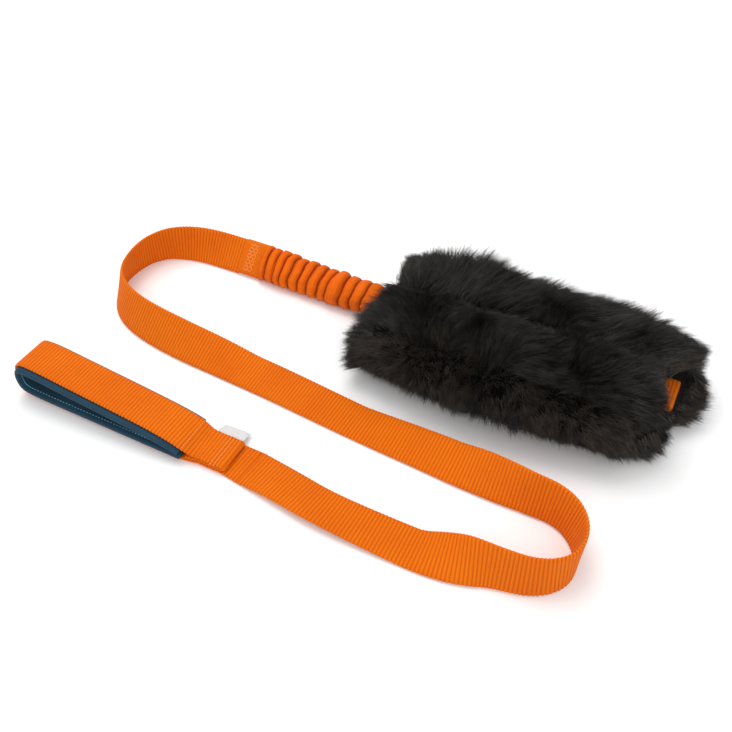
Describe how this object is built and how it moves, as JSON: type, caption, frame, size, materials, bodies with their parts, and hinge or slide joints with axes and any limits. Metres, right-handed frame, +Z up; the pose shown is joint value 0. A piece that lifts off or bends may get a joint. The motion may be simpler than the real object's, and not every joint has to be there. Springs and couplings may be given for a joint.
{
  "type": "training bumper",
  "caption": "Long-pile sheepskin pad on a webbing core, joined by a gathered bungee to a flat ribbed lead that ends in a padded hand loop.",
  "frame": {"origin": "centre of the pad, bungee and handle together, on the floor they lie on", "axes": "+X along the bungee towards the pad's open end, +Y across the pad away from the handle, +Z up"},
  "size_m": [0.3657, 0.213, 0.05],
  "materials": {
    "webbing": "ribbed woven webbing",
    "gathered_webbing": "woven tube, gathered",
    "lining": "matt padded lining",
    "lining_thread": "spun thread",
    "webbing_thread": "spun thread",
    "tag": "satin weave, blank",
    "elastic": "covered elastic",
    "hide": "suede side",
    "wool": "long soft pile",
    "dark_thread": "spun thread"
  },
  "bodies": {
    "lead": {"lead_webbing": "webbing", "sleeve_hem_lead": "webbing", "zigzag_stitch_lead": "webbing_thread", "bungee_sleeve": "gathered_webbing", "bungee_elastic": "elastic"},
    "handle": {"handle_webbing": "webbing", "handle_lining": "lining", "lining_seam_near": "lining_thread", "lining_seam_far": "lining_thread", "stitch_row_inner": "webbing_thread", "stitch_rows_end": "webbing_thread"},
    "tag": {"side_tag": "tag"},
    "bungee_end": {"sleeve_hem_pad": "webbing", "zigzag_stitch_pad": "webbing_thread"},
    "pad": {"pad_webbing": "webbing", "sheepskin_hide": "hide", "wool_pile": "wool", "hide_seam": "dark_thread", "anchor_stitch_near": "dark_thread", "anchor_stitch_far": "dark_thread"}
  },
  "joints": [
    {"name": "bungee_stretch", "type": "slide", "parent": "lead", "child": "bungee_end", "axis": [1, 0, 0], "range_m": [0, 0.07], "stiffness_N_per_m": 400, "deforming": ["bungee_sleeve", "bungee_elastic"]},
    {"name": "pad_lift", "type": "hinge", "parent": "bungee_end", "child": "pad", "pos_m": [-0.01205, 0.06, 0.0115], "axis": [0, -1, 0], "range_deg": [0, 90]},
    {"name": "handle_lift", "type": "hinge", "parent": "lead", "child": "handle", "pos_m": [-0.0202, -0.0905, 0.002], "axis": [0, 1, 0], "range_deg": [0, 150]},
    {"name": "tag_flip", "type": "hinge", "parent": "handle", "child": "tag", "pos_m": [-0.0405, -0.0777, 0.0043], "axis": [1, 0, 0], "range_deg": [0, 75]}
  ]
}
